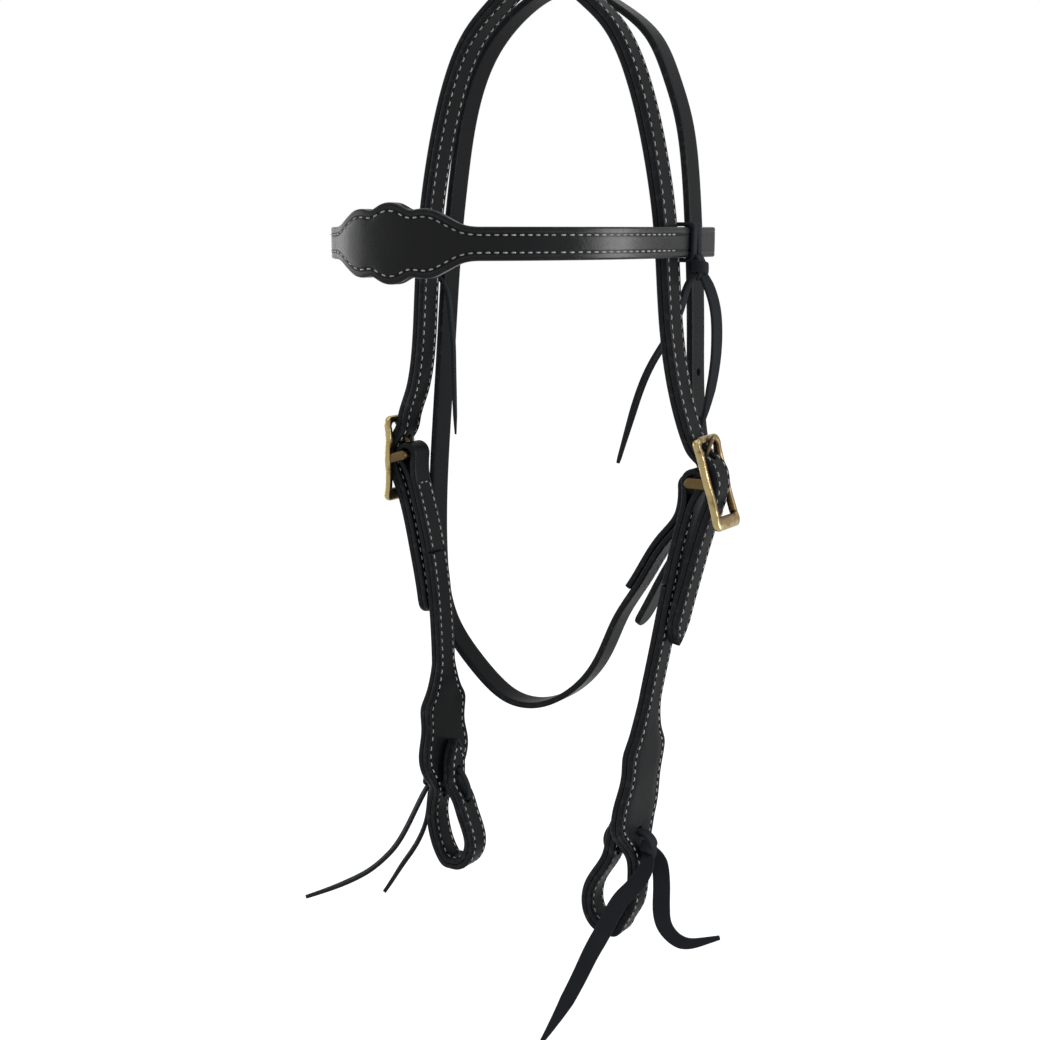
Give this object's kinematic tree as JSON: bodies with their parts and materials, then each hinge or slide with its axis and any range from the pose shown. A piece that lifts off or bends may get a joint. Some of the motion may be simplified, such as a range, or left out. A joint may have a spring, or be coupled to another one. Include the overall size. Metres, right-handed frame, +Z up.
{
  "type": "western headstall",
  "caption": "Black leather western headstall with scalloped browband, throatlatch, and cheeks with brass cart buckles and laced bit loops.",
  "frame": {"origin": "middle of the crown strap's underside, where it lies on the poll", "axes": "+Z up, +X to the horse's left (near) side, -Y to its forehead"},
  "size_m": [0.2502, 0.1848, 0.598],
  "materials": {
    "leather": "black bridle leather, smooth, half gloss, burnished edges",
    "lace": "oiled black lace leather, matt, cut square",
    "brass": "antiqued brass, rubbed bright on its raised edges"
  },
  "bodies": {
    "headstall": {"crown_face": "leather", "crown_lining": "leather", "throat_strap": "leather", "near_buckle_frame": "brass", "off_buckle_frame": "brass", "throat_buckle_frame": "brass"},
    "near_cheek": {"near_cheek_face": "leather", "near_cheek_lining": "leather", "near_bit_tie": "lace"},
    "off_cheek": {"off_cheek_face": "leather", "off_cheek_lining": "leather", "off_bit_tie": "lace"},
    "near_tongue": {"near_buckle_tongue": "brass"},
    "off_tongue": {"off_buckle_tongue": "brass"},
    "throat_tongue": {"throat_buckle_tongue": "brass"},
    "browband": {"browband_face": "leather", "browband_lining": "leather", "near_brow_tie": "lace", "off_brow_tie": "lace"}
  },
  "joints": [
    {"name": "near_cheek_swing", "type": "hinge", "parent": "headstall", "child": "near_cheek", "pos_m": [0.0948, 0.008, -0.25933], "axis": [0, 1, 0], "range_deg": [0, 8]},
    {"name": "off_cheek_swing", "type": "hinge", "parent": "headstall", "child": "off_cheek", "pos_m": [-0.09659, 0.008, -0.25909], "axis": [0, -1, 0], "range_deg": [0, 8]},
    {"name": "near_tongue_swing", "type": "hinge", "parent": "headstall", "child": "near_tongue", "pos_m": [0.0948, 0.008, -0.25933], "axis": [0, 1, 0], "range_deg": [0, 5]},
    {"name": "off_tongue_swing", "type": "hinge", "parent": "headstall", "child": "off_tongue", "pos_m": [-0.09659, 0.008, -0.25909], "axis": [0, -1, 0], "range_deg": [0, 5]},
    {"name": "throat_tongue_swing", "type": "hinge", "parent": "headstall", "child": "throat_tongue", "pos_m": [0.08126, 0.031, -0.26582], "axis": [0, 1, 0], "range_deg": [0, 5]},
    {"name": "browband_slide", "type": "slide", "parent": "headstall", "child": "browband", "axis": [0, 0, 1], "range_m": [-0.004, 0.004]}
  ]
}
